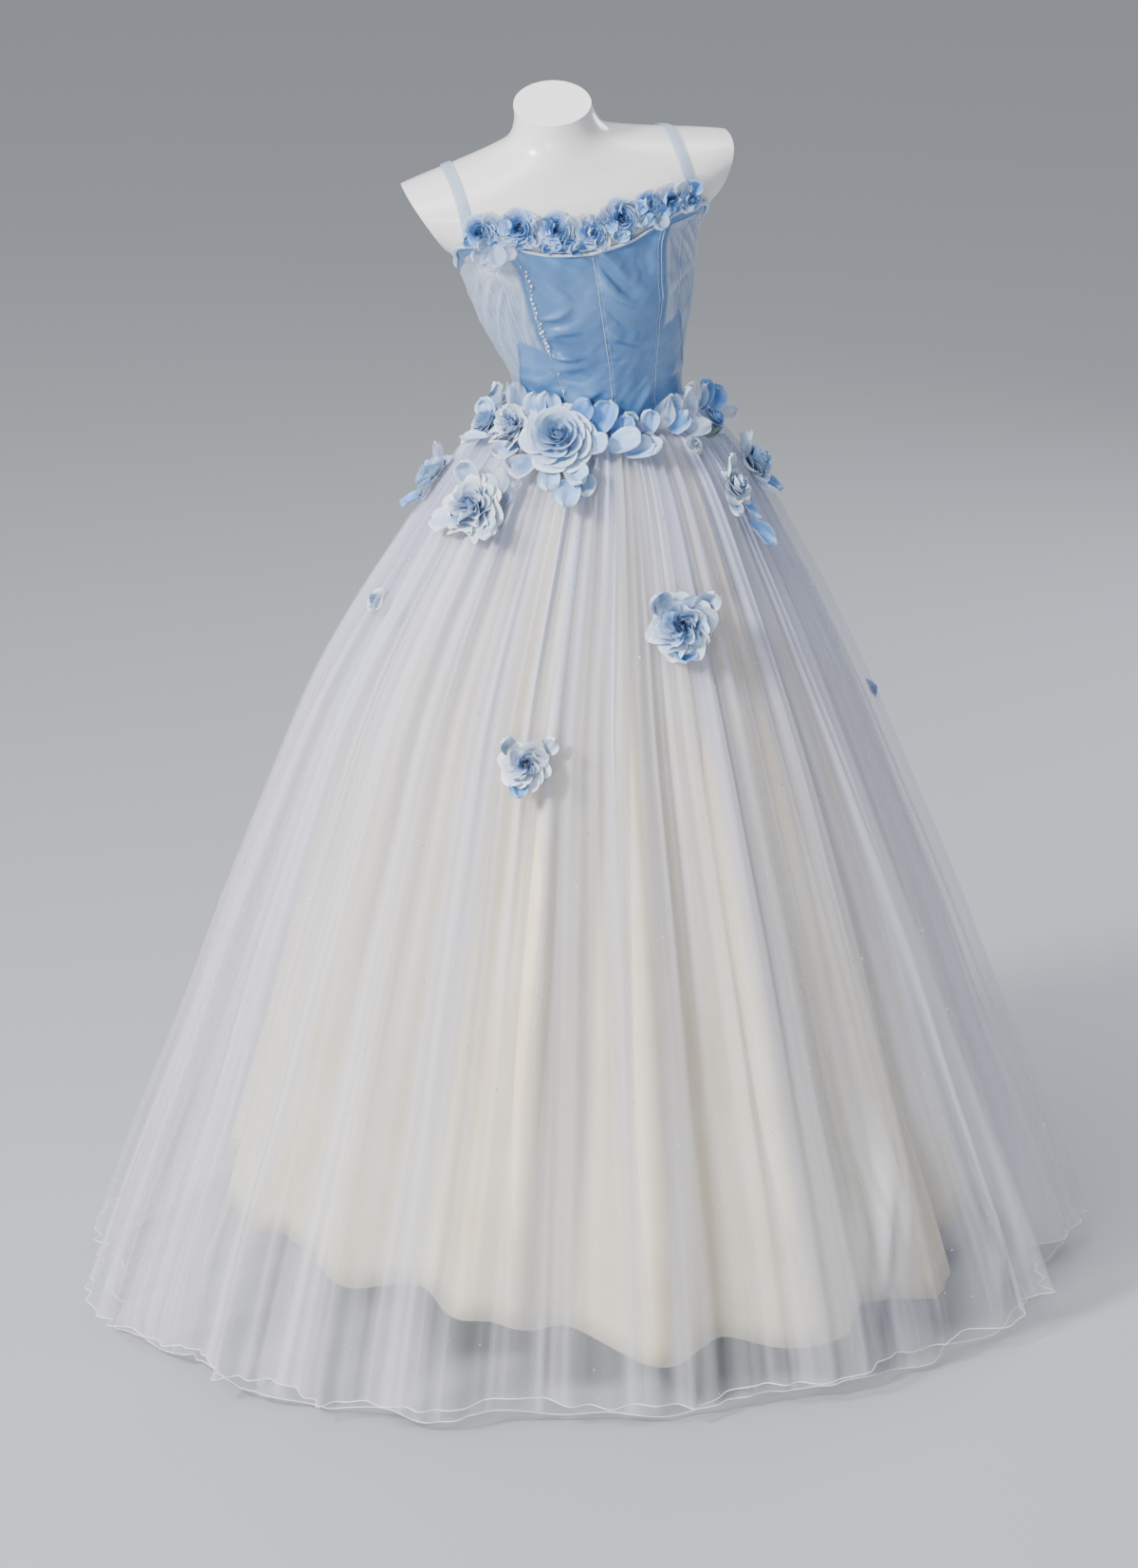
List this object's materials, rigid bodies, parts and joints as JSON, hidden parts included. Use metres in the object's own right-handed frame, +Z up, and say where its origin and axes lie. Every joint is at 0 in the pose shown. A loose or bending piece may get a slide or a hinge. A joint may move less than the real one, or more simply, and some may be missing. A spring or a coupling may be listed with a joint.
{
  "type": "prom dress on a limbless dress form",
  "caption": "Floor-length gown with a fitted satin bodice, sheer straps, a full gathered tulle skirt and fabric flowers, standing on a limbless dress form with a round base.",
  "frame": {"origin": "middle of the underside of the base plate, under the pole, on the floor", "axes": "+Z up along the height of the dress and its form, -Z out of the base plate's underside; the dress faces -Y and the wearer's left is +X"},
  "size_m": [1.2647, 1.0173, 1.5062],
  "materials": {
    "form_gloss": "smooth white gloss lacquer",
    "stand_steel": "brushed steel pole and base plate",
    "bodice_satin": "dusty light-blue satin",
    "drape_organza": "sheer whitish organza",
    "strap_ribbon": "sheer pale-blue ribbon",
    "lining_satin": "ivory lining satin",
    "tulle_net": "very sheer blue-grey white tulle",
    "rose_blue": "light-blue fabric petals with a deeper heart",
    "rose_pale": "pale-blue fabric petals",
    "rose_white": "white fabric petals",
    "petal_organza": "sheer grey-blue organza petals",
    "leaf_green": "dark green fabric leaf"
  },
  "bodies": {
    "root": {"form_torso": "form_gloss", "form_pole": "stand_steel", "form_base": "stand_steel", "bodice_front_right": "bodice_satin", "bodice_front_left": "bodice_satin", "bodice_side_front_right": "bodice_satin", "bodice_side_front_left": "bodice_satin", "bodice_side_back_right": "bodice_satin", "bodice_side_back_left": "bodice_satin", "bodice_back_right": "bodice_satin", "bodice_back_left": "bodice_satin", "side_drape_right": "drape_organza", "side_drape_left": "drape_organza", "neckline_binding": "bodice_satin", "strap_right": "strap_ribbon", "strap_left": "strap_ribbon", "skirt_lining_front": "lining_satin", "tulle_under_front": "tulle_net", "tulle_top_front": "tulle_net", "skirt_lining_back": "lining_satin", "tulle_under_back": "tulle_net", "tulle_top_back": "tulle_net", "neckline_rose_1": "rose_blue", "neckline_rose_2": "rose_blue", "neckline_rose_3": "rose_blue", "neckline_rose_4": "rose_blue", "neckline_rose_5": "rose_blue", "neckline_rose_6": "rose_blue", "neckline_rose_7": "rose_blue", "neckline_rose_8": "rose_blue", "waist_rose_far_right": "petal_organza", "waist_rose_side": "rose_pale", "waist_rose_ruffled": "rose_white", "waist_rose_main": "rose_pale", "waist_petal_1": "rose_pale", "waist_petal_2": "rose_blue", "waist_petal_3": "rose_pale", "waist_petal_4": "rose_pale", "waist_petal_5": "rose_white", "waist_leaf_1": "rose_pale", "waist_leaf_2": "rose_white", "waist_leaf_3": "petal_organza", "waist_leaf_4": "leaf_green", "waist_flower_small": "rose_white", "waist_rose_shaded": "rose_blue", "skirt_rose_1": "rose_pale", "skirt_rose_2": "rose_white", "skirt_rose_3": "rose_pale", "skirt_rose_4": "rose_white", "skirt_petal_4": "rose_blue", "skirt_rose_5": "rose_white", "skirt_rose_6": "rose_pale", "skirt_rose_7": "rose_white", "skirt_rose_8": "rose_blue"}
  },
  "joints": []
}
